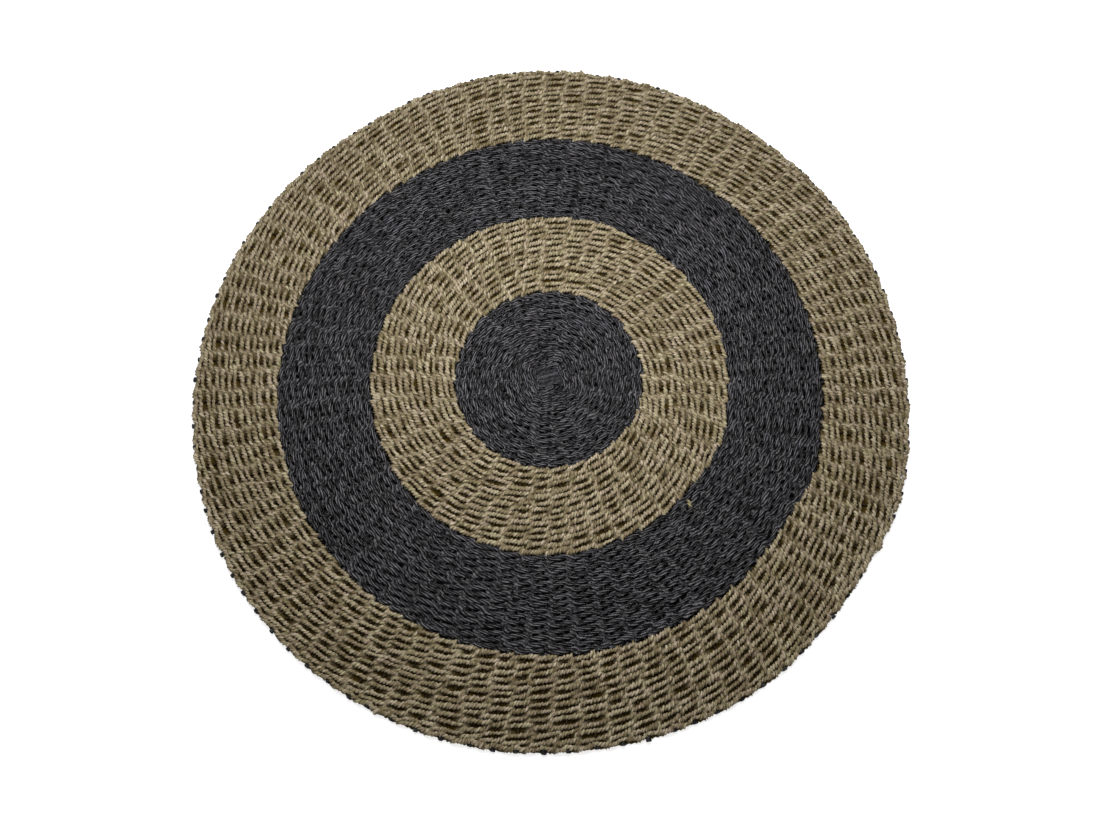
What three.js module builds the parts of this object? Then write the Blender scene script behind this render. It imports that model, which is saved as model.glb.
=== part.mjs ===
// A round seagrass floor rug, twined flat by hand from the centre out.
//
// Black-dyed cords cross at the centre and fan out as spokes, and more spokes are laid in as the
// circle grows. Pairs of two-ply seagrass cord are twined round the spokes in close rows, in bands
// of black and natural, and the spokes are cut off just past the last row.
//
// It is one piece, so it is one solid. Its underside is flat. The points of its top face rise and
// fall with the weave: the black rows are packed tight and stand as round ribs, and the natural
// rows are looser, so a slit is left over each spoke between one row and the next.
//
// Millimetres, +Z up, the underside on Z = 0 and the middle of the rug's box on the Z axis.

import * as THREE from 'three';

const EDGE_RADIUS = 596; // outer edge of the last row of twining
const THICKNESS = 15; // a cord, a spoke and a cord
const RIB_DEPTH = 3; // the groove between two black rows
const SLIT_DEPTH = 5.5; // from the top of the natural weft down to the spoke
const HALF_HEIGHT = THICKNESS / 2; // where the spokes lie

// The bands, from the centre out.
const BANDS = [
  { outer: 156, rows: 13, open: false }, // black centre
  { outer: 300, rows: 13, open: true }, // inner natural band
  { outer: 455, rows: 15, open: false }, // black ring
  { outer: EDGE_RADIUS, rows: 13, open: true }, // outer natural band
];

// The number of spokes from each radius outwards, and the flat sides that a black row has there.
const SPOKE_STAGES = [
  { from: 0, spokes: 16, sides: 16 },
  { from: 120, spokes: 32, sides: 32 },
  { from: 216, spokes: 48, sides: 36 },
  { from: 312, spokes: 72, sides: 36 },
  { from: 445, spokes: 96, sides: 48 },
];

// The start of the weave, where a few cords lie side by side across as many others.
const START = { length: 40, width: 36, cords: 4 };

// Where a spoke is cut off past the last row.
const SPOKE_END = { width: 7.5, reach: 4.5, root: 9 };

// The edge is drawn in under the last row and at its top.
const EDGE_TUCK = 3;

// How far the hand-made edge strays from a true circle, anticlockwise from +X.
const EDGE_STRAY = [
  { degrees: 0, share: -0.006 },
  { degrees: 50, share: -0.006 },
  { degrees: 75, share: 0.003 },
  { degrees: 92, share: 0.01 },
  { degrees: 106, share: 0.005 },
  { degrees: 120, share: -0.007 },
  { degrees: 165, share: -0.005 },
  { degrees: 210, share: 0.004 },
  { degrees: 228, share: 0.005 },
  { degrees: 255, share: 0.004 },
  { degrees: 275, share: -0.001 },
  { degrees: 300, share: 0.003 },
  { degrees: 316, share: -0.006 },
  { degrees: 332, share: 0.007 },
  { degrees: 346, share: -0.003 },
];

const FULL_TURN = 2 * Math.PI;

// The edge's stray at an angle, eased from one row of the table to the next.
function strayAt(angle) {
  const degrees = THREE.MathUtils.euclideanModulo(THREE.MathUtils.radToDeg(angle), 360);
  const last = EDGE_STRAY.length - 1;
  const next = EDGE_STRAY.findIndex((row) => row.degrees > degrees);
  const to = next < 0 ? { ...EDGE_STRAY[0], degrees: 360 } : EDGE_STRAY[next];
  const from = next < 0 ? EDGE_STRAY[last] : EDGE_STRAY[next - 1];
  const along = THREE.MathUtils.smoothstep(degrees, from.degrees, to.degrees);
  return THREE.MathUtils.lerp(from.share, to.share, along);
}

// The rows near the edge stray with it, and those near the centre hardly do.
function strayed(radius, angle) {
  const weight = (radius / EDGE_RADIUS) ** 2;
  return radius * (1 + weight * strayAt(angle));
}

function stageAt(radius) {
  return SPOKE_STAGES.findLast((stage) => radius >= stage.from);
}

const points = [];
const triangles = [];

function addPoint(x, y, z) {
  points.push(x, y, z);
  return points.length / 3 - 1;
}

// One point of a ring: where it is in the list, and its angle, by which rings are joined.
function ringPoint(radius, angle, height) {
  const r = strayed(radius, angle);
  return { index: addPoint(r * Math.cos(angle), r * Math.sin(angle), height), angle };
}

// A ring of evenly spaced points. The first one lies half a step round, between two spokes.
function addRing(radius, count, height) {
  const step = FULL_TURN / count;
  return Array.from({ length: count }, (_, i) => ringPoint(radius, (i + 0.5) * step, height));
}

// Joins two rings with a band of triangles, whatever their numbers of points. The band faces up
// where the second ring is the wider one, and out or down as the rings go over the edge.
function joinRings(inner, outer) {
  const at = (ring, i) => ring[i % ring.length].angle + (i >= ring.length ? FULL_TURN : 0);
  let i = 0;
  let j = 0;
  while (i < inner.length || j < outer.length) {
    const a = inner[i % inner.length].index;
    const b = outer[j % outer.length].index;
    const stepInner = j >= outer.length || (i < inner.length && at(inner, i + 1) <= at(outer, j + 1));
    if (stepInner) {
      i += 1;
      triangles.push(a, b, inner[i % inner.length].index);
    } else {
      j += 1;
      triangles.push(a, b, outer[j % outer.length].index);
    }
  }
}

// Joins two rows that have the same spokes, with a slit sunk over each spoke between them.
function joinRowsWithSlits(inner, outer, radius) {
  const count = inner.length;
  for (let i = 0; i < count; i += 1) {
    const next = (i + 1) % count;
    const spokeAngle = ((i + 1) * FULL_TURN) / count;
    const slit = ringPoint(radius, spokeAngle, THICKNESS - SLIT_DEPTH).index;
    triangles.push(inner[i].index, outer[i].index, slit);
    triangles.push(outer[i].index, outer[next].index, slit);
    triangles.push(outer[next].index, inner[next].index, slit);
    triangles.push(inner[next].index, inner[i].index, slit);
  }
}

// The cords at the start run along X: a crest along each, and a groove on both sides of it.
// Returns the patch's outline as a ring, from the angle nearest to +X.
function addStart() {
  const lines = 2 * START.cords + 1;
  const sides = [-1, 1].map((side) =>
    Array.from({ length: lines }, (_, i) => {
      const x = (side * START.length) / 2;
      const y = START.width * (i / (lines - 1) - 0.5);
      const height = THICKNESS - (i % 2 ? 0 : RIB_DEPTH);
      return { index: addPoint(x, y, height), angle: Math.atan2(y, x) };
    }),
  );
  const [left, right] = sides;
  for (let i = 0; i + 1 < lines; i += 1) {
    triangles.push(left[i].index, right[i].index, right[i + 1].index);
    triangles.push(left[i].index, right[i + 1].index, left[i + 1].index);
  }
  return [...left, ...right]
    .map((p) => ({ ...p, angle: THREE.MathUtils.euclideanModulo(p.angle, FULL_TURN) }))
    .sort((p, q) => p.angle - q.angle);
}

// The rows of twining. Returns the last row's crest.
function addRows(startOutline) {
  let crest = startOutline;
  let crestIsOpen = false;
  let inner = Math.hypot(START.length, START.width) / 2;
  for (const { outer, rows, open } of BANDS) {
    const pitch = (outer - inner) / rows;
    for (let row = 0; row < rows; row += 1) {
      const groove = inner + row * pitch;
      const middle = groove + pitch / 2;
      const stage = stageAt(middle);
      const count = open ? stage.spokes : stage.sides;
      const next = addRing(middle, count, THICKNESS);
      if (open && crestIsOpen && crest.length === count) {
        joinRowsWithSlits(crest, next, groove);
      } else {
        const dip = addRing(groove, count, THICKNESS - RIB_DEPTH);
        joinRings(crest, dip);
        joinRings(dip, next);
      }
      crest = next;
      crestIsOpen = open;
    }
    inner = outer;
  }
  return crest;
}

// The edge: out from the last row to the cut ends of the spokes, and in under it to the floor.
function addEdge(crest) {
  const spokes = crest.length;
  const step = FULL_TURN / spokes;
  const half = SPOKE_END.width / 2 / EDGE_RADIUS;
  const halfRoot = SPOKE_END.root / 2 / EDGE_RADIUS;
  const tip = EDGE_RADIUS + SPOKE_END.reach;
  const ends = [];
  for (let i = 0; i < spokes; i += 1) {
    const angle = (i + 1) * step;
    ends.push(ringPoint(EDGE_RADIUS, angle - halfRoot, HALF_HEIGHT));
    ends.push(ringPoint(tip, angle - half, HALF_HEIGHT));
    ends.push(ringPoint(tip, angle + half, HALF_HEIGHT));
    ends.push(ringPoint(EDGE_RADIUS, angle + halfRoot, HALF_HEIGHT));
  }
  const foot = addRing(EDGE_RADIUS - EDGE_TUCK, spokes, 0);
  joinRings(crest, ends);
  joinRings(ends, foot);
  return foot;
}

// The flat underside, inside the foot of the edge.
function addUnderside(foot) {
  const outline = foot.map(({ index }) => new THREE.Vector2(points[3 * index], points[3 * index + 1]));
  for (const [a, b, c] of THREE.ShapeUtils.triangulateShape(outline, [])) {
    triangles.push(foot[c].index, foot[b].index, foot[a].index);
  }
}

function makeRug() {
  addUnderside(addEdge(addRows(addStart())));
  const geometry = new THREE.BufferGeometry();
  geometry.setAttribute('position', new THREE.Float32BufferAttribute(points, 3));
  geometry.setIndex(triangles);
  geometry.computeBoundingBox();
  const middle = geometry.boundingBox.getCenter(new THREE.Vector3());
  geometry.translate(-middle.x, -middle.y, 0);
  geometry.computeVertexNormals();

  const seagrass = new THREE.MeshStandardMaterial({ color: 0x7a6c52, roughness: 0.85, metalness: 0 });
  const rug = new THREE.Mesh(geometry, seagrass);
  rug.name = 'rug';
  return rug;
}

const model = new THREE.Group();
model.name = 'round_seagrass_rug';
model.add(makeRug());

export default model;
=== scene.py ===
"""A round seagrass rug, twined from cord around black spokes, made cord by cord.

Lengths are in metres. The underside lies on z = 0, and the viewer of the photograph stands at -Y.
"""

import math

import bpy
import numpy as np
from mathutils import Matrix


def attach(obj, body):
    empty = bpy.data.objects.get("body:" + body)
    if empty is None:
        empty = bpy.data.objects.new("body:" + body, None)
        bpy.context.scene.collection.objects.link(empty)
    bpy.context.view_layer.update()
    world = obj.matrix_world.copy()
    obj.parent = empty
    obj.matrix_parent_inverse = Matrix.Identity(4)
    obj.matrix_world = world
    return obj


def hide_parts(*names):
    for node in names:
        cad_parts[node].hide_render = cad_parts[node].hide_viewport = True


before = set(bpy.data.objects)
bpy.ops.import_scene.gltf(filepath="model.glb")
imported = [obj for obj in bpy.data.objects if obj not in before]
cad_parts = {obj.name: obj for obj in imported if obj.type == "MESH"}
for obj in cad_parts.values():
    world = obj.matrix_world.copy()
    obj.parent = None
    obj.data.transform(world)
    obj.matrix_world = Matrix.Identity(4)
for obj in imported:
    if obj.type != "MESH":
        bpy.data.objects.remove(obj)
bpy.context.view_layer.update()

# The spokes: black-dyed two-ply cords, four laid across four at the centre and fanned out. More
# are laid in between as the circle grows, so that they stay about as far apart, and all of them
# are cut off just past the last row.
EDGE_RADIUS = 0.596  # the outer edge of the last row
CENTRE_EDGE = 0.156  # the outer edges of the black centre, the inner band and the black ring
INNER_EDGE = 0.300
RING_EDGE = 0.455
HALF_HEIGHT = 0.0075  # the spokes lie halfway up the rug
SPOKE_COUNTS = [16, 32, 48, 72, 96]
SPOKES_FROM = [0.0, 0.120, 0.216, 0.312, 0.445]  # the radius from which there are that many
SPOKE_REACH = 0.0026  # past the last row
START_ANGLE = math.radians(330.0)  # where the weft starts, and where it ends at the rim

# How far the hand-made edge strays from a true circle: degrees anticlockwise from +X, and a
# share of the radius. The step where the weft ends is in the weft itself.
EDGE_STRAY = np.array([
    (0, -0.006), (50, -0.006), (75, 0.003), (92, 0.010), (106, 0.005), (120, -0.007),
    (165, -0.005), (210, 0.004), (228, 0.005), (255, 0.004), (275, -0.001), (300, 0.003),
    (316, -0.004), (331, -0.004), (341, 0.002), (352, -0.003), (360, -0.006),
])


def eased(low, high, value):
    """0 below low, 1 above high, and an even curve between them."""
    t = np.clip((value - low) / (high - low), 0.0, 1.0)
    return t * t * (3.0 - 2.0 * t)


def strayed(radius, angle):
    """A row's radius at an angle: it strays with the edge, and less the nearer it is to the centre."""
    degrees = np.degrees(angle) % 360.0
    after = np.searchsorted(EDGE_STRAY[:, 0], degrees, side="right").clip(1, len(EDGE_STRAY) - 1)
    low, high = EDGE_STRAY[after - 1], EDGE_STRAY[after]
    stray = low[..., 1] + (high[..., 1] - low[..., 1]) * eased(low[..., 0], high[..., 0], degrees)
    return radius * (1.0 + stray * (radius / EDGE_RADIUS) ** 2)


def middle_of_edge():
    """The middle of the box round the cut spoke ends, which the rug's frame has as its origin."""
    angle = START_ANGLE + 2.0 * np.pi * np.arange(SPOKE_COUNTS[-1]) / SPOKE_COUNTS[-1]
    radius = strayed(EDGE_RADIUS + SPOKE_REACH, angle)
    ends = np.stack([radius * np.cos(angle), radius * np.sin(angle)], axis=1)
    return (ends.min(axis=0) + ends.max(axis=0)) / 2.0


EDGE_MIDDLE = middle_of_edge()

# The first rows turn the crossed cords a little, and are drawn out round the crossing's corners.
START_TILT = math.radians(12.0)
START_CORNERS = 0.13  # a share of the radius
CORNERS_FADE = (0.022, 0.070)  # the radii between which the rows become round


def laid(radius, turn, height):
    """Points of the rug, from the radius, the share of a turn clockwise from the start and the
    height."""
    angle = START_ANGLE - 2.0 * np.pi * np.asarray(turn)
    corners = START_CORNERS * np.cos(4.0 * (angle - START_TILT))
    corners = corners * (1.0 - eased(*CORNERS_FADE, radius))
    r = strayed(radius, angle) * (1.0 - corners)
    x = r * np.cos(angle) - EDGE_MIDDLE[0]
    y = r * np.sin(angle) - EDGE_MIDDLE[1]
    return np.stack([x, y, np.broadcast_to(height, x.shape)], axis=-1)


def spoke_places():
    """Each spoke's number round the rug at each stage, or -1 where it isn't laid in yet."""
    places = np.full((SPOKE_COUNTS[-1], len(SPOKE_COUNTS)), -1)
    places[: SPOKE_COUNTS[0], 0] = np.arange(SPOKE_COUNTS[0])
    for stage in range(1, len(SPOKE_COUNTS)):
        old, new = SPOKE_COUNTS[stage - 1], SPOKE_COUNTS[stage]
        group = old // (new - old)  # so many old spokes get one new spoke among them
        number, within = np.divmod(places[:old, stage - 1], group)
        places[:old, stage] = number * (group + 1) + within + (within >= (group + 1) // 2)
        places[old:new, stage] = np.setdiff1d(np.arange(new), places[:old, stage])
    return places


SPOKE_PLACES = spoke_places()

# A spoke lies a little aside of its place and wanders, by itself and along with its neighbours.
SPOKE_SPREAD = 0.030  # the radial length over which the spokes move apart for new ones
ASIDE_USUAL = 0.0029
ASIDE_MOST = 0.0055
OWN_WAVES = [(0.0013, 31.0), (0.0010, 83.0)]  # how far, and radians to a metre
SHARED_WAVES = [(0.0040, 2, 9.0), (0.0035, 3, -7.0)]  # how far, waves to a turn, radians to a metre
WANDER_FROM = (0.03, 0.10)  # the radii between which the wander sets in
LEAST_RADIUS = 0.02  # nearer the centre, a length would be too large a part of a turn
spoke_chance = np.random.default_rng(11)
WAVE_STARTS = spoke_chance.uniform(0.0, 2.0 * np.pi, (SPOKE_COUNTS[-1], len(OWN_WAVES)))
SPOKE_ASIDE = spoke_chance.normal(0.0, ASIDE_USUAL, SPOKE_COUNTS[-1]).clip(-ASIDE_MOST, ASIDE_MOST)


def spoke_turn(spoke, radius):
    """The share of a turn at which a spoke lies at each radius, with the wander of handwork."""
    radius = np.asarray(radius, float)
    stages = [s for s in range(len(SPOKE_COUNTS)) if SPOKE_PLACES[spoke, s] >= 0]
    shares = [SPOKE_PLACES[spoke, s] / SPOKE_COUNTS[s] for s in stages]
    turn = np.full(radius.shape, shares[0])
    for before, after, stage in zip(shares, shares[1:], stages[1:]):
        begin = SPOKES_FROM[stage] - SPOKE_SPREAD / 3.0  # a third of it before the new ones count
        turn = turn + (after - before) * eased(begin, begin + SPOKE_SPREAD, radius)
    sideways = SPOKE_ASIDE[spoke]
    for (far, waves), start in zip(OWN_WAVES, WAVE_STARTS[spoke]):
        sideways = sideways + far * np.sin(waves * radius + start)
    for far, to_turn, waves in SHARED_WAVES:
        sideways = sideways + far * np.sin(2.0 * np.pi * to_turn * turn + waves * radius)
    around = 2.0 * np.pi * np.maximum(radius, LEAST_RADIUS)
    return turn + eased(*WANDER_FROM, radius) * sideways / around


# A hard two-ply cord: how far its points lie from its middle, two on each ply and one in each
# groove, which ply each belongs to, how uneven the plies are, and how many rings of the mesh a
# blade of grass lasts. grain and across give the length and width of the streaks on the blades,
# and groove gives how dark a shade is painted in the grooves.
TWO_PLY = {
    "out": np.array([1.0, 1.0, 0.52, 1.0, 1.0, 0.52]), "ply": np.array([0, 0, 0, 1, 1, 1]),
    "lumpy": 0.07, "blade_rings": 16, "grain": 160.0, "across": 1.0, "groove": 0.0,
}
UP = np.array([0.0, 0.0, 1.0])
FLOOR_CLEAR = 0.0002
LUMP_RINGS = 3  # from one thick or thin place of a ply to the next
PAINTED_SHADE_DEPTH = 0.0048  # how far down the painted shade deepens, from where it begins to where it is full
GRAIN_LENGTH = 100.0  # each cord's streaks begin somewhere along this
LEAST_GROOVE = 0.01  # what a round cord, which has none, is divided by


def by_chance(rings, apart, draw):
    """A value for each ring that changes by chance, from knots so many rings apart."""
    knots = np.arange(0, rings + 2 * apart, apart)
    return np.interp(np.arange(rings), knots, draw(len(knots)))


def cord(centre, half_width, half_height, phase, make, chance, filled=0.0, shade=None):
    """A cord along a centre line. Gives arrays, ring by ring, of its points, of each point's place
    in the grain, and of the tone, the hue and the painted shade of the grass there. filled closes
    the grooves, and shade, if given, is the painted shade."""
    rings, sides, plies = len(centre), len(make["out"]), max(make["ply"]) + 1
    along = np.gradient(centre, axis=0)
    along /= np.linalg.norm(along, axis=1, keepdims=True)
    side = np.cross(UP, along)
    side /= np.linalg.norm(side, axis=1, keepdims=True)
    rise = np.cross(along, side)
    even = 2.0 * np.pi * np.arange(sides) / sides
    lumps = [by_chance(rings, LUMP_RINGS, lambda n: chance.normal(1.0, make["lumpy"], n))
             for _ in range(plies)]
    filled = np.broadcast_to(filled, rings)[:, None]
    lumpy = 1.0 + (np.stack(lumps, axis=1)[:, make["ply"]] - 1.0) * (1.0 - filled)
    out = (make["out"] + (1.0 - make["out"]) * filled) * lumpy
    across = out * np.cos(even + phase[:, None]) * half_width[:, None]
    up = out * np.sin(even + phase[:, None]) * half_height[:, None]
    points = centre[:, None] + across[..., None] * side[:, None] + up[..., None] * rise[:, None]
    points[..., 2] = np.maximum(points[..., 2], FLOOR_CLEAR)  # pressed flat on the floor

    step = np.linalg.norm(np.diff(centre, axis=0), axis=1)
    length = np.concatenate([[0.0], np.cumsum(step)])
    grain = np.empty((rings, sides, 3))
    grain[..., 0] = make["across"] * np.cos(even)
    grain[..., 1] = make["across"] * np.sin(even)
    grain[..., 2] = make["grain"] * length[:, None]
    grain[..., 2] += chance.uniform(0.0, GRAIN_LENGTH)

    looks = np.empty((rings, sides, 3))
    for number in range(plies):
        of_ply = make["ply"] == number
        for kind in (0, 1):
            looks[:, of_ply, kind] = by_chance(rings, make["blade_rings"], chance.random)[:, None]
    # Painted shade: where none is given, the grass is painted darker the lower it lies, for the shade
    # deep in the weave, and darker in the grooves between the plies, for the shade in them.
    if shade is None:
        shade = np.clip((make["painted_shade_from"] - points[..., 2]) / PAINTED_SHADE_DEPTH, 0.0, 1.0)
    depth = 1.0 - make["out"]
    groove = make["groove"] * depth / max(depth.max(), LEAST_GROOVE)
    looks[..., 2] = np.maximum(groove, shade)
    return points, grain, looks


COLUMN_GAP = 0.5  # between the columns of an unrolled cord, in faces
CAP_RADIUS = 0.4  # of its cut ends, as a share of the corner that is left free for them


def unroll(mesh, sides, quads, caps):
    """Lays the cords' surface out flat in columns of rings, so that a picture of it can be kept."""
    segments = quads // sides
    column_width = sides + COLUMN_GAP
    columns = math.ceil(math.sqrt(segments / column_width)) + 1
    rows = math.ceil(segments / (columns - 1))
    column, row = np.divmod(np.repeat(np.arange(segments), sides), rows)
    left = column * column_width + np.tile(np.arange(sides), segments) + COLUMN_GAP / 2.0
    u = np.stack([left, left + 1.0, left + 1.0, left], axis=1) / (columns * column_width)
    v = np.stack([row, row, row + 1.0, row + 1.0], axis=1) / rows
    around = 2.0 * np.pi * np.arange(sides) / sides
    cap_u = 1.0 - (0.5 + CAP_RADIUS * np.cos(around)) / columns
    cap_v = (0.5 + CAP_RADIUS * np.sin(around)) / columns
    flat_u = np.concatenate([u.ravel(), np.tile(cap_u, caps)])
    flat_v = np.concatenate([v.ravel(), np.tile(cap_v, caps)])
    layer = mesh.uv_layers.new(name="OFBake")
    layer.data.foreach_set("uv", np.stack([flat_u, flat_v], axis=1).astype(np.float32).ravel())


def cord_piece(name, cords, material):
    """One object from a list of cords that have the same number of sides."""
    sides = cords[0][0].shape[1]
    quads, caps = [], []
    first = 0
    for points, _, _ in cords:
        last = first + sides * (len(points) - 1)
        here = np.arange(first, last).reshape(-1, sides)
        after = np.roll(here, -1, axis=1)
        quads.append(np.stack([here, after, after + sides, here + sides], axis=-1).reshape(-1, 4))
        caps.append(np.arange(first, first + sides)[::-1])
        caps.append(np.arange(last, last + sides))
        first = last + sides
    points, grain, looks = (np.concatenate([c[i].reshape(-1, 3) for c in cords]) for i in range(3))
    quads = np.concatenate(quads)
    mesh = bpy.data.meshes.new(name)
    mesh.from_pydata(points.tolist(), [], quads.tolist() + [cap.tolist() for cap in caps])
    mesh.shade_smooth()
    for label, values in (("grain", grain), ("looks", looks)):
        layer = mesh.attributes.new(label, "FLOAT_VECTOR", "POINT")
        layer.data.foreach_set("vector", values.astype(np.float32).ravel())
    unroll(mesh, sides, len(quads), len(caps))
    mesh.materials.append(material)
    piece = bpy.data.objects.new(name, mesh)
    bpy.context.scene.collection.objects.link(piece)
    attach(piece, "root")
    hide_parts("rug")
    return piece


PAINTED_SHADE_CURVE = 1.6  # the painted shade deepens slowly at first
STRAND_WOBBLE = 0.6  # radians by which the streaks bend the strands of a soft cord
STRAND_GROOVE = 1.5  # above 1, the painted shade in the grooves between them is narrower than the strands


def grass_material(
    name, dark, middle, pale, mixed, streaked, hue_a, hue_b, painted_shade_colour, gloss, roughness, fibre_bump,
    strands=None,
):
    """Twisted seagrass: blades of several tones, fibre streaks along them, and a painted shade in the
    grooves and deep in the weave. strands are those of a soft cord, which aren't in its mesh: their
    number, their height, how much paler their crests are painted, a painted highlight, and how dark
    the painted shade between them is."""
    material = bpy.data.materials.new(name)
    material.use_nodes = True
    tree = material.node_tree
    shader = tree.nodes["Principled BSDF"]
    shader.inputs["Specular IOR Level"].default_value = gloss
    link = tree.links.new

    def worked(operation, *values):
        """The result of a sum of sockets and plain numbers."""
        node = tree.nodes.new("ShaderNodeMath")
        node.operation = operation
        for socket, value in zip(node.inputs, values):
            if isinstance(value, float):
                socket.default_value = value
            else:
                link(value, socket)
        return node.outputs[0]

    def parts(label):
        """A vector kept on the mesh, and its three parts."""
        kept = tree.nodes.new("ShaderNodeAttribute")
        kept.attribute_name = label
        split = tree.nodes.new("ShaderNodeSeparateXYZ")
        link(kept.outputs["Vector"], split.inputs[0])
        return kept.outputs["Vector"], split.outputs

    grain, round_cord = parts("grain")
    _, looks = parts("looks")
    noise = tree.nodes.new("ShaderNodeTexNoise")
    noise.inputs["Scale"].default_value = 1.5
    noise.inputs["Detail"].default_value = 2.5
    noise.inputs["Roughness"].default_value = 0.65
    link(grain, noise.inputs["Vector"])
    streaks = noise.outputs["Fac"]

    # Each blade's own tone, shifted by the streaks that run along it. The grass is painted darker in
    # the grooves and deep in the weave, a painted shade for the shade there.
    tone = worked("MULTIPLY_ADD", looks["X"], mixed, 0.5 - streaked / 2.0 - mixed / 2.0)
    tone = worked("MULTIPLY_ADD", streaks, streaked, tone)
    painted_shade_share = worked("POWER", looks["Z"], PAINTED_SHADE_CURVE)
    bumps = streaks
    if strands is not None:
        number, strand_height, painted_crest_highlight, between = strands
        angle = worked("ARCTAN2", round_cord["Y"], round_cord["X"])
        wobble = worked("MULTIPLY", streaks, STRAND_WOBBLE)
        strand = worked("COSINE", worked("MULTIPLY_ADD", angle, number, wobble))
        # A soft cord's strands: a painted highlight on each crest, and a painted shade in the grooves
        # between them.
        tone = worked("MULTIPLY_ADD", strand, painted_crest_highlight, tone)
        groove = worked("POWER", worked("MULTIPLY_ADD", strand, -0.5, 0.5), STRAND_GROOVE)
        painted_shade_share = worked("MAXIMUM", painted_shade_share, worked("MULTIPLY", groove, between))
        bumps = worked("MULTIPLY_ADD", strand, strand_height / 2.0 / fibre_bump, streaks)
    ramp = tree.nodes.new("ShaderNodeValToRGB")
    ramp.color_ramp.elements[0].position = 0.05
    ramp.color_ramp.elements[0].color = (*dark, 1.0)
    ramp.color_ramp.elements[1].position = 0.95
    ramp.color_ramp.elements[1].color = (*pale, 1.0)
    centre = ramp.color_ramp.elements.new(0.50)
    centre.color = (*middle, 1.0)
    link(tone, ramp.inputs["Fac"])

    # Some blades are greener and some are browner.
    hue = tree.nodes.new("ShaderNodeMix")
    hue.data_type = "RGBA"
    hue.inputs["A"].default_value = (*hue_a, 1.0)
    hue.inputs["B"].default_value = (*hue_b, 1.0)
    link(looks["Y"], hue.inputs["Factor"])
    tinted = tree.nodes.new("ShaderNodeMix")
    tinted.data_type = "RGBA"
    tinted.blend_type = "MULTIPLY"
    tinted.inputs["Factor"].default_value = 1.0
    link(ramp.outputs["Color"], tinted.inputs["A"])
    link(hue.outputs["Result"], tinted.inputs["B"])
    shaded = tree.nodes.new("ShaderNodeMix")
    shaded.data_type = "RGBA"
    shaded.inputs["B"].default_value = (*painted_shade_colour, 1.0)
    link(painted_shade_share, shaded.inputs["Factor"])
    link(tinted.outputs["Result"], shaded.inputs["A"])
    link(shaded.outputs["Result"], shader.inputs["Base Color"])

    spread = roughness[1] - roughness[0]
    link(worked("MULTIPLY_ADD", streaks, spread, roughness[0]), shader.inputs["Roughness"])
    bump = tree.nodes.new("ShaderNodeBump")
    bump.inputs["Strength"].default_value = 1.0
    bump.inputs["Distance"].default_value = fibre_bump
    link(bumps, bump.inputs["Height"])
    link(bump.outputs["Normal"], shader.inputs["Normal"])
    return material


# The spokes' black grass. Where the natural weft covers them, they are painted towards a dark brown, a
# painted shade for the brown shade in the slits; their cut ends keep their own black.
spoke_grass = grass_material(
    "spoke_seagrass",
    dark=(0.006, 0.006, 0.0065), middle=(0.024, 0.0235, 0.025), pale=(0.074, 0.073, 0.077),
    mixed=0.5, streaked=2.6, hue_a=(0.95, 0.97, 1.05), hue_b=(1.05, 1.0, 0.97),
    painted_shade_colour=(0.026, 0.017, 0.006), gloss=0.10, roughness=(0.60, 0.85), fibre_bump=0.0004,
)

# The last row of the weft, which the spokes reach past. The weft is one spiral, clockwise: a row
# moves out to the place of the next one, some of the way evenly and the rest near the end.
LAST_ROW = 0.5964
LAST_PITCH = 0.0113
LAST_HALF_WIDTH = 0.0036
LAST_DRAWN_IN = 0.0030  # against the row before it
CLIMB_EVENLY = 0.4
CLIMB_FROM = 0.945
MEAN_CLIMB = CLIMB_EVENLY / 2.0 + (1.0 - CLIMB_EVENLY) * (1.0 - CLIMB_FROM) / 2.0
ENDS_CLIMB = 0.7  # the share of it that the cut ends follow


def climb(share):
    """How far a row has moved out to the place of the next one, after a share of its turn."""
    return CLIMB_EVENLY * share + (1.0 - CLIMB_EVENLY) * eased(CLIMB_FROM, 1.0, share)


def rim_at(turn):
    """The radius of the last row's outer edge after a share of a turn, where it goes over a spoke."""
    moved = LAST_PITCH * (ENDS_CLIMB * climb(turn % 1.0) - MEAN_CLIMB)
    return LAST_ROW - LAST_DRAWN_IN + LAST_HALF_WIDTH + moved


SPOKE_RING = 0.0065  # between two rings of a spoke's mesh
LEAST_RINGS = 8
SPOKE_ROUNDED = np.array([0.0009, 0.0016])  # the two steps by which the cut end is rounded off
CUT_UNEVENLY = 0.0009
END_DROOP = (-0.0012, 0.0006)  # the least and most that an end rises
DROOP_LENGTH = 0.015
FANNED_FROM = (0.014, 0.036)  # the radii between which the crossed cords fan out


def spoke_line(spoke, begin, lane=None):
    """The centre line of a spoke, from a radius out to its cut end. lane is set on the cords that
    pass through the centre: the way that they run there, their place beside it, and their height."""
    end = rim_at(SPOKE_PLACES[spoke, -1] / SPOKE_COUNTS[-1]) + SPOKE_REACH
    end += spoke_chance.normal(0.0, CUT_UNEVENLY)
    rings = max(LEAST_RINGS, round((end - begin) / SPOKE_RING))
    radius = np.concatenate([np.linspace(begin, end, rings), end + SPOKE_ROUNDED])
    droop = spoke_chance.uniform(*END_DROOP) * eased(end - DROOP_LENGTH, end, radius)
    line = laid(radius, spoke_turn(spoke, radius), HALF_HEIGHT + droop)
    if lane is None:
        return line
    heading, lane_beside, height = lane
    across = np.array([-heading[1], heading[0]])
    straight = np.empty((len(radius), 3))
    straight[:, :2] = radius[:, None] * heading + lane_beside * across - EDGE_MIDDLE
    straight[:, 2] = height
    fanned = eased(*FANNED_FROM, radius)[:, None]
    return straight * (1.0 - fanned) + line * fanned


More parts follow.
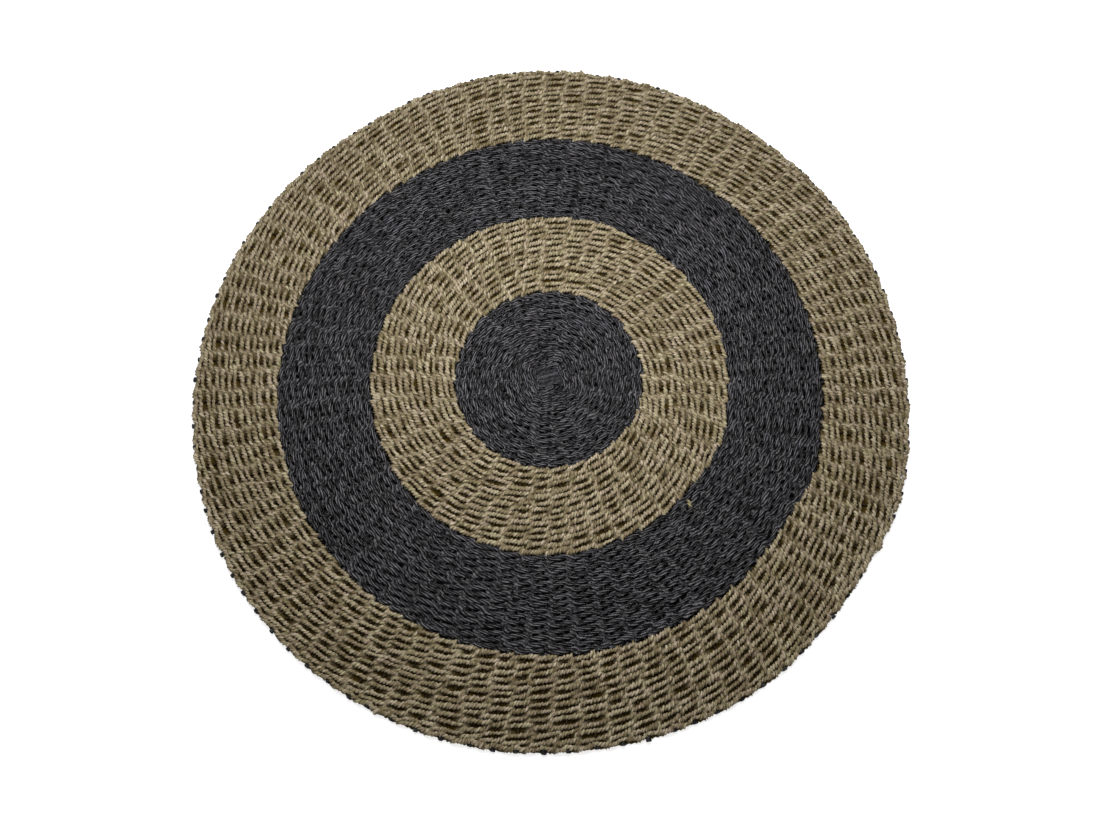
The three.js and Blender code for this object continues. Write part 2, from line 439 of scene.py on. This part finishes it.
SPOKE_HALF_WIDTH = 0.0031
SPOKE_HALF_HEIGHT = 0.0062  # squeezed up between the black rows, and less between the natural ones
NATURAL_HALF_HEIGHT = 0.0049
START_HALF_WIDTH = 0.0036  # pressed flat at the centre
START_HALF_HEIGHT = 0.0027
WOVEN_FROM = (0.018, 0.036)  # the radii between which the weave takes hold of the cords
BAND_CHANGE = 0.004  # to each side of a band's edge
SPOKE_TWIST = 170.0  # radians of ply twist to a metre
SIDE_BY_SIDE = -np.pi / 6.0  # the turn of a cord at which its two plies lie side by side
LOOSE_RINGS = [2, 4]  # a cut end is loose up to this ring from it, and firm from that one
FULLER = (0.30, 0.65)  # how much wider a loose end is, at least and at most
FLATTER = 0.20  # and how much lower
BLUNT = [0.60, 0.90, 1.0]  # its last rings, which round it off


def spoke_cord(line, cut_ends):
    """The cord round a spoke's centre line. It is pressed flat at the centre, squeezed from both
    sides in the weave and frayed a little where it is cut off."""
    count = len(line)
    number = np.arange(count)
    from_end = (count - 1 - number) if cut_ends == 1 else np.minimum(number, count - 1 - number)
    loose = np.interp(from_end, LOOSE_RINGS, [1.0, 0.0])
    blunt = np.interp(from_end, range(len(BLUNT)), BLUNT)
    radius = np.hypot(line[:, 0] + EDGE_MIDDLE[0], line[:, 1] + EDGE_MIDDLE[1])
    woven = eased(*WOVEN_FROM, radius)
    fuller = spoke_chance.uniform(*FULLER)
    half_width = START_HALF_WIDTH + (SPOKE_HALF_WIDTH - START_HALF_WIDTH) * woven
    half_width *= blunt * (1.0 + fuller * loose)
    in_natural = np.zeros(count)
    for edge, begins in ((CENTRE_EDGE, 1.0), (INNER_EDGE, -1.0), (RING_EDGE, 1.0)):
        in_natural += begins * eased(edge - BAND_CHANGE, edge + BAND_CHANGE, radius)
    squeezed = SPOKE_HALF_HEIGHT + (NATURAL_HALF_HEIGHT - SPOKE_HALF_HEIGHT) * in_natural
    half_height = START_HALF_HEIGHT + (squeezed - START_HALF_HEIGHT) * woven
    half_height *= blunt * (1.0 - FLATTER * loose)
    twist = SPOKE_TWIST * (woven[1:] + woven[:-1]) / 2.0
    step = np.linalg.norm(np.diff(line, axis=0), axis=1)
    phase = np.concatenate([[0.0], np.cumsum(twist * step)])
    if cut_ends == 2:
        phase += SIDE_BY_SIDE - phase[np.argmin(radius)]
    else:
        phase += spoke_chance.uniform(0.0, 2.0 * np.pi)
    # Painted shade: under the natural bands, but not at the cut ends, the spokes are painted towards
    # dark brown, for the brown shade in the slits.
    shade = ((1.0 - loose) * in_natural)[:, None]
    return cord(line, half_width, half_height, phase, TWO_PLY, spoke_chance, loose, shade)


START_CORDS = 4
START_LANE = 0.0070  # between the four cords that lie side by side at the centre
SPOKE_TUCK = 0.012  # how far in under the rows before it a new spoke begins

# The upper four cords and the lower four: the spoke at the first one's end, the sum of the
# numbers of the two spokes that a cord makes, and its height there above the other spokes.
START_LAYERS = [(13, 5, 0.0036), (9, 13, -0.0030)]


def all_spokes():
    """The cords of all the spokes: eight that cross at the centre, and those laid in later."""
    cords = []
    for layer, (first, both_ends, above) in enumerate(START_LAYERS):
        tilt = START_TILT + layer * np.pi / 2.0
        heading = np.array([math.cos(tilt), math.sin(tilt)])
        for number in range(START_CORDS):
            spoke = (first + number) % SPOKE_COUNTS[0]
            opposite = (both_ends - spoke) % SPOKE_COUNTS[0]
            beside = START_LANE * ((START_CORDS - 1) / 2.0 - number)
            out = spoke_line(spoke, 0.0, (heading, beside, HALF_HEIGHT + above))
            back = spoke_line(opposite, 0.0, (-heading, -beside, HALF_HEIGHT + above))
            cords.append(spoke_cord(np.concatenate([back[:0:-1], out]), cut_ends=2))
    for spoke in range(SPOKE_COUNTS[0], SPOKE_COUNTS[-1]):
        stage = np.argmax(SPOKE_PLACES[spoke] >= 0)
        line = spoke_line(spoke, SPOKES_FROM[stage] - SPOKE_TUCK)
        cords.append(spoke_cord(line, cut_ends=1))
    return cords


spokes = cord_piece("spokes", all_spokes(), spoke_grass)

# The black centre: the first rows of the weft. Two soft black-dyed cords of five strands go round
# together from spoke to spoke, one over and one under, and cross between the spokes. They are
# beaten close, with a pit left on both sides of each spoke. The whole weft is one spiral, clockwise.
FINE_STEPS = 28  # points of the path from spoke to spoke
STRAY_FREEDOM = 4  # the degrees of freedom of a row's stray: a low number gives a few large ones
STRAY_MOST = 0.0024  # how far a row strays, and the share of it that is left in an even row
EVEN_STRAY = 0.25
HOP = 0.0003  # the unevenness in height
CROSS_ASIDE = 0.15  # how far the crossings are off the middle between two spokes, as a share
SPLICE = 1.5  # the stitches over which one band's cords run out beside the next one's
SPLICE_TUCK = 0.0020  # how far down their ends are tucked


def row_spokes(radius):
    """The turns at which the spokes cross a row, from the start round to it again."""
    stage = np.searchsorted(SPOKES_FROM, radius, side="right") - 1
    count = SPOKE_COUNTS[stage]
    order = np.argsort(SPOKE_PLACES[:count, stage])
    turns = np.array([float(spoke_turn(spoke, radius)) for spoke in order])
    return np.append(turns, turns[0] + 1.0)


def twined_band(inner, outer, rows, unevenness, seed, lead_in=SPLICE, even_rows=0):
    """The path that both cords of a band share: arrays of the count of spokes passed, the radius,
    the turn, the spoke spacing and the unevenness in height, from spoke to spoke and row to row.
    It begins lead_in stitches early, beside the end of the band before it, and its last even_rows
    rows are kept even."""
    chance = np.random.default_rng(seed)
    pitch = (outer - inner) / rows
    path = {"passed": [], "radius": [], "turn": [], "spacing": [], "lift": []}
    stitches = 0
    for row in range(-1, rows + 1):
        middle = inner + (row + 0.5) * pitch
        crossings = row_spokes(np.clip(middle, 0.0, EDGE_RADIUS))
        count = len(crossings) - 1
        from_stitch = count - lead_in if row < 0 else 0.0
        to_stitch = SPLICE if row == rows else count
        steps = np.arange(round(from_stitch * FINE_STEPS), round(to_stitch * FINE_STEPS)) / FINE_STEPS
        stray = chance.standard_t(STRAY_FREEDOM, count + 1) * unevenness
        stray = np.clip(stray, -STRAY_MOST, STRAY_MOST)
        if row >= rows - even_rows:
            stray *= EVEN_STRAY
        hop = chance.normal(0.0, HOP, count + 1)
        halves = np.arange(2 * count + 1) / 2.0  # each spoke, and the middle between it and the next
        aside = np.zeros(len(halves))
        aside[1::2] = chance.normal(0.0, CROSS_ASIDE, count).clip(-2.0 * CROSS_ASIDE, 2.0 * CROSS_ASIDE)
        number = np.arange(count + 1)
        moved = pitch * (climb(steps / count) - MEAN_CLIMB)
        path["passed"].append(stitches + steps + np.interp(steps, halves, aside))
        path["radius"].append(middle + moved + np.interp(steps, number, stray))
        path["turn"].append(row + np.interp(steps, number, crossings))
        path["spacing"].append(np.full(len(steps), 2.0 * np.pi * middle / count))
        path["lift"].append(np.interp(steps, number, hop))
        stitches += count
    band = {label: np.concatenate(rows_of_it) for label, rows_of_it in path.items()}
    passed = band["passed"]
    begun = 1.0 if lead_in == 0.0 else eased(passed[0], passed[0] + 2.0 * SPLICE, passed)
    ending = eased(passed[-1] - 2.0 * SPLICE, passed[-1], passed)
    band["radius"] += pitch * ((1.0 - begun) - ending) / 2.0
    band["lift"] -= SPLICE_TUCK * ((1.0 - begun) + ending)
    return band


FLOAT_LIFT = 0.0046  # a cord's middle above or below the spokes, where it floats over one
UNDER_HALF_WIDTH = 0.0116  # where it floats under one, pressed flat on the floor
UNDER_HALF_HEIGHT = 0.0026
PRESSED_HALFWAY = 0.55  # how far it is pressed flat at the height of the spokes
PRESSED_BELOW = 2.5  # and how fast that grows further down
PAST_EDGE = 0.0030  # how far past the rug's edge it may be pressed
LEAST_FIRM = 0.6  # how sharply a cord goes down, where the spokes are close
SEEN_FROM = (-0.75, -0.15)  # the levels, from under to over, between which its mesh becomes fine
PLUMP_RINGS = 12  # from one thick or thin place of a cord to the next
END_THIN = 0.45  # its ends, as a share of it, and the rings over which it thins out
END_RINGS = 9.0


def weft_cord(band, over_first, make, chance):
    """One cord of a twined pair. over_first is 1 for the cord that starts over a spoke and -1 for
    the other one."""
    firmness = np.maximum(LEAST_FIRM, band["spacing"] / make["crossing"])
    wave = np.cos(np.pi * band["passed"])
    wave = over_first * np.sign(wave) * np.abs(wave) ** make["snug"]
    level = np.tanh(firmness * wave) / np.tanh(firmness)
    beside = np.sin(np.pi * band["passed"])
    swing = over_first * make["swing"] * np.sign(beside) * np.abs(beside) ** make["late"]
    height = HALF_HEIGHT + FLOAT_LIFT * level + make["rise"] * (1.0 - level**2) + band["lift"]
    fine = laid(band["radius"] + swing, band["turn"], height)
    step = np.linalg.norm(np.diff(fine, axis=0), axis=1)
    gap = make["under_ring"] + (make["ring"] - make["under_ring"]) * eased(*SEEN_FROM, level)
    number = np.concatenate([[0.0], np.cumsum(step / ((gap[1:] + gap[:-1]) / 2.0))])
    count = int(number[-1]) + 1

    def at_rings(values):
        return np.interp(np.arange(count), number, values)

    centre = np.stack([at_rings(fine[:, i]) for i in range(3)], axis=1)
    over = np.clip(at_rings(level), 0.0, 1.0)
    under = np.clip(PRESSED_HALFWAY - PRESSED_BELOW * at_rings(level), 0.0, 1.0)
    crossing = 1.0 - over - under
    plump = by_chance(count, PLUMP_RINGS, lambda n: chance.normal(1.0, make["plump"], n))
    plump = 1.0 + (plump - 1.0) * (1.0 - under)
    from_end = np.minimum(np.arange(count), np.arange(count)[::-1])
    plump *= END_THIN + (1.0 - END_THIN) * eased(0.0, END_RINGS, from_end)
    under_half_width = np.minimum(UNDER_HALF_WIDTH, EDGE_RADIUS + PAST_EDGE - at_rings(band["radius"]))
    half_width = make["squeezed"] * crossing + make["half_width"] * over + under_half_width * under
    half_height = make["tall"] * crossing + make["half_height"] * over + UNDER_HALF_HEIGHT * under
    slack = by_chance(count, PLUMP_RINGS, lambda n: chance.normal(0.0, make["slack"], n))
    phase = make["ply_turn"] * np.arange(count) + slack + chance.uniform(0.0, 2.0 * np.pi)
    filled = under + make["closed"] * crossing
    return cord(centre, plump * half_width, plump * half_height, phase, make, chance, filled)


def twined_pair(name, band, make, material, seed):
    """The two cords of a band, each its own piece."""
    pieces = []
    for label, over_first in (("over", 1.0), ("under", -1.0)):
        chance = np.random.default_rng(seed + int(over_first))
        weft = weft_cord(band, over_first, make, chance)
        pieces.append(cord_piece(f"{name}_{label}", [weft], material))
    return pieces


# The black grass is painted a near-black shade in its grooves and deep in the weave. Its pale tone,
# which the strands' crests and some blades reach, is partly a painted highlight.
black_grass = grass_material(
    "black_seagrass",
    dark=(0.0015, 0.0014, 0.0017), middle=(0.006, 0.0058, 0.0065), pale=(0.146, 0.142, 0.151),
    mixed=0.6, streaked=2.7, hue_a=(0.95, 0.97, 1.05), hue_b=(1.05, 1.0, 0.97),
    painted_shade_colour=(0.0010, 0.0010, 0.0012), gloss=0.21, roughness=(0.18, 0.40), fibre_bump=0.0003,
    strands=(5.0, 0.0019, 0.28, 1.0),
)

# A weft cord's half_width and half_height are those over a spoke. squeezed and tall are those where
# it crosses the other cord, and there it rises, swings aside and has its grooves closed. crossing,
# snug and late shape its way down. ring and under_ring are the steps of its mesh above and below
# the spokes, and ply_turn is its twist from ring to ring. slack, plump and lumpy say how uneven
# the twist, the cord and its plies are, and the last entry is the height below which its grass is
# painted darker, a painted shade for the depth of the weave.
black_cord = {
    "out": np.ones(8), "ply": np.repeat(np.arange(4), 2),
    "half_width": 0.0046, "half_height": 0.0035, "squeezed": 0.0031, "tall": 0.0045,
    "rise": 0.0010, "swing": 0.0024, "late": 1.0, "crossing": 0.0600, "snug": 3.2, "closed": 0.0,
    "ring": 0.0046, "under_ring": 0.0100, "ply_turn": 0.47, "slack": 0.2,
    "plump": 0.10, "lumpy": 0.08, "blade_rings": 3, "grain": 95.0, "across": 2.6, "groove": 0.0,
    "painted_shade_from": 0.0141,
}
FIRST_ROW = 0.0170  # the inner edge of the first row, round the crossed cords
BLACK_UNEVENNESS = 0.0007
LEAD_INWARDS = 0.003  # how far in and down the cords' ends are tucked, a stitch before the start
LEAD_DOWN = 0.001
centre_rows = twined_band(
    FIRST_ROW, CENTRE_EDGE, rows=14, unevenness=BLACK_UNEVENNESS, seed=21, lead_in=0.0,
)
lead = np.arange(-FINE_STEPS, 0) / FINE_STEPS
centre_lead = {
    "passed": centre_rows["passed"][0] + lead,
    "radius": centre_rows["radius"][0] + LEAD_INWARDS * lead,
    "turn": centre_rows["turn"][0] + lead / SPOKE_COUNTS[0],
    "spacing": np.full(FINE_STEPS, centre_rows["spacing"][0]),
    "lift": LEAD_DOWN * lead,
}
centre_band = {label: np.concatenate([centre_lead[label], centre_rows[label]]) for label in centre_rows}
centre_weft = twined_pair("centre_weft", centre_band, black_cord, black_grass, seed=31)

# The inner natural band: the weft goes on in undyed seagrass, straw, olive and grey-brown. It is
# a hard two-ply cord, beaten less close, so that a dark slit is left over each spoke between one
# row and the next.
# The natural grass's painted shade, in its grooves and deep in the weave, is a dark olive-brown.
natural_grass = grass_material(
    "natural_seagrass",
    dark=(0.086, 0.063, 0.029), middle=(0.224, 0.184, 0.114), pale=(0.470, 0.412, 0.303),
    mixed=0.60, streaked=2.6, hue_a=(0.97, 1.0, 0.88), hue_b=(1.04, 0.98, 1.05),
    painted_shade_colour=(0.049, 0.029, 0.001), gloss=0.10, roughness=(0.60, 0.85), fibre_bump=0.0006,
)
natural_cord = {
    **TWO_PLY,
    "half_width": 0.0044, "half_height": 0.0036, "squeezed": 0.0038, "tall": 0.0042,
    "rise": 0.0014, "swing": 0.0028, "late": 2.1, "crossing": 0.0165, "snug": 1.0, "closed": 0.3,
    "ring": 0.0020, "under_ring": 0.0090, "ply_turn": -1.16, "slack": 0.9,
    "plump": 0.14, "lumpy": 0.18, "blade_rings": 6, "groove": 0.55, "painted_shade_from": 0.0104,
}
INNER_UNEVENNESS = 0.0011
inner_band = twined_band(CENTRE_EDGE, INNER_EDGE, rows=13, unevenness=INNER_UNEVENNESS, seed=22)
inner_weft = twined_pair("inner_band_weft", inner_band, natural_cord, natural_grass, seed=41)

# The black ring: the weft goes on in the same soft black-dyed cord as at the centre, twined round
# more spokes and beaten as close. Its ends lie beside those of the natural cord, which stops where
# it begins and begins where it stops.
ring_band = twined_band(INNER_EDGE, RING_EDGE, rows=15, unevenness=BLACK_UNEVENNESS, seed=23)
ring_weft = twined_pair("black_ring_weft", ring_band, black_cord, black_grass, seed=51)

# A short end of undyed cord, left where a new cord was laid in. It shows between the first rows of
# the ring, and its grass is pale green.
STRAW_MIDDLE = np.array([0.2154, -0.2324, 0.0146])
STRAW_HALF = np.array([-0.0014, 0.0064, 0.0])  # from its middle to its end
STRAW_SAG = 0.0012  # its ends below its middle
STRAW_HALF_WIDTH = 0.0036
STRAW_HALF_HEIGHT = 0.0025
STRAW_TAPER = np.array([0.60, 0.90, 1.0, 1.0, 1.0, 0.90, 0.60])
STRAW_TWIST = -1.2  # radians from ring to ring
STRAW_TONE = 0.45
STRAW_HUE = 0.0  # the greenest
straw_ring = np.arange(len(STRAW_TAPER))
straw_along = np.linspace(-1.0, 1.0, len(STRAW_TAPER))[:, None]
straw_line = STRAW_MIDDLE + STRAW_HALF * straw_along - STRAW_SAG * UP * straw_along**2
straw_cord = cord(
    straw_line, STRAW_HALF_WIDTH * STRAW_TAPER, STRAW_HALF_HEIGHT * STRAW_TAPER,
    STRAW_TWIST * straw_ring, natural_cord, np.random.default_rng(71),
)
straw_looks = straw_cord[2]
straw_looks[..., 0] = STRAW_TONE
straw_looks[..., 1] = STRAW_HUE
straw_end = cord_piece("straw_end", [straw_cord], natural_grass)

# The outer natural band, out to the rim, where the last row is drawn in over each spoke, so that
# the cut ends lie in dips. The end of the weft is tucked in under the row before it.
OUTER_UNEVENNESS = 0.0013
OUTER_HALF_WIDTH = 0.0040
DRAWN_IN_OVER = (-1.5, 0.5)  # the stitches, from where the last row begins, over which it comes in
EDGE_DIP = 0.0040
DIP_NARROW = 3  # the higher, the narrower the dips
LAST_SWING = 0.5  # the two cords lie closer in the last row
END_STITCHES = 0.55  # how much of the end is tucked in, how far in and how far down
END_INWARDS = 0.004
END_DOWN = 0.003
outer_band = twined_band(
    RING_EDGE, LAST_ROW + LAST_PITCH / 2.0, rows=13, unevenness=OUTER_UNEVENNESS, seed=24,
    even_rows=2,
)
outer_passed = outer_band["passed"]
last_row_from = outer_passed[-1] - SPOKE_COUNTS[-1]
in_last_row = eased(last_row_from + DRAWN_IN_OVER[0], last_row_from + DRAWN_IN_OVER[1], outer_passed)
over_spoke = (0.5 + 0.5 * np.cos(2.0 * np.pi * outer_passed)) ** DIP_NARROW
outer_band["radius"] -= in_last_row * (LAST_DRAWN_IN + EDGE_DIP * (over_spoke - over_spoke.mean()))
tucked = eased(outer_passed[-1] - END_STITCHES, outer_passed[-1], outer_passed)
outer_band["radius"] -= END_INWARDS * tucked
outer_band["lift"] -= END_DOWN * tucked
outer_swing = natural_cord["swing"] * (1.0 - (1.0 - LAST_SWING) * in_last_row)
outer_cord = {**natural_cord, "half_width": OUTER_HALF_WIDTH, "swing": outer_swing}
outer_weft = twined_pair("outer_band_weft", outer_band, outer_cord, natural_grass, seed=61)

# A plain studio: a pale floor, which is lit from below as well, so that the shadows are soft, a
# round lamp over the rug in a white room, and a camera held as high as a standing person holds one.
FLOOR_HALF = 6.0
FLOOR_LEVEL = -0.0002
floor_mesh = bpy.data.meshes.new("floor")
floor_mesh.from_pydata(
    [(-FLOOR_HALF, -FLOOR_HALF, 0), (FLOOR_HALF, -FLOOR_HALF, 0),
     (FLOOR_HALF, FLOOR_HALF, 0), (-FLOOR_HALF, FLOOR_HALF, 0)],
    [], [(0, 1, 2, 3)],
)
floor = bpy.data.objects.new("floor", floor_mesh)
floor.location.z = FLOOR_LEVEL
bpy.context.scene.collection.objects.link(floor)
floor_paint = bpy.data.materials.new("pale_floor")
floor_paint.use_nodes = True
floor_shader = floor_paint.node_tree.nodes["Principled BSDF"]
floor_shader.inputs["Base Color"].default_value = (0.90, 0.90, 0.90, 1.0)
floor_shader.inputs["Roughness"].default_value = 0.9
floor_shader.inputs["Emission Color"].default_value = (1.0, 1.0, 1.0, 1.0)
floor_shader.inputs["Emission Strength"].default_value = 0.64
floor_mesh.materials.append(floor_paint)


def facing(place, back, roll=0.0):
    """The matrix of a lamp or camera at a place, with its back turned that way."""
    right = np.cross(UP, back)
    right /= np.linalg.norm(right)
    up = np.cross(back, right)
    c, s = math.cos(roll), math.sin(roll)
    axes = np.eye(4)
    axes[:3, 0] = c * right + s * up
    axes[:3, 1] = c * up - s * right
    axes[:3, 2] = back
    axes[:3, 3] = place
    return Matrix(axes.tolist())


LAMP_PLACE = np.array([0.0, 0.20, 0.88])
LAMP_AIM = np.array([0.0, 0.12, 0.0])
lamp = bpy.data.lights.new("window_light", "AREA")
lamp.shape = "DISK"
lamp.size = 1.0
lamp.energy = 14.3
window_light = bpy.data.objects.new("window_light", lamp)
lamp_back = LAMP_PLACE - LAMP_AIM
window_light.matrix_world = facing(LAMP_PLACE, lamp_back / np.linalg.norm(lamp_back))
window_light.visible_camera = False
bpy.context.scene.collection.objects.link(window_light)
world = bpy.data.worlds.new("studio")
world.use_nodes = True
world.node_tree.nodes["Background"].inputs["Color"].default_value = (1.0, 1.0, 1.0, 1.0)
world.node_tree.nodes["Background"].inputs["Strength"].default_value = 0.33
bpy.context.scene.world = world
bpy.context.scene.view_settings.view_transform = "Standard"

CAMERA_AIM = np.array([0.0007, -0.0632, 0.012])
CAMERA_DISTANCE = 1.742
CAMERA_ELEVATION = math.radians(72.1)
CAMERA_ROLL = math.radians(-3.44)
camera_back = np.array([0.0, -math.cos(CAMERA_ELEVATION), math.sin(CAMERA_ELEVATION)])
lens = bpy.data.cameras.new("camera")
lens.sensor_width = 36.0
lens.lens = 34.4
camera = bpy.data.objects.new("camera", lens)
camera.matrix_world = facing(CAMERA_AIM + CAMERA_DISTANCE * camera_back, camera_back, CAMERA_ROLL)
bpy.context.scene.collection.objects.link(camera)
bpy.context.scene.camera = camera
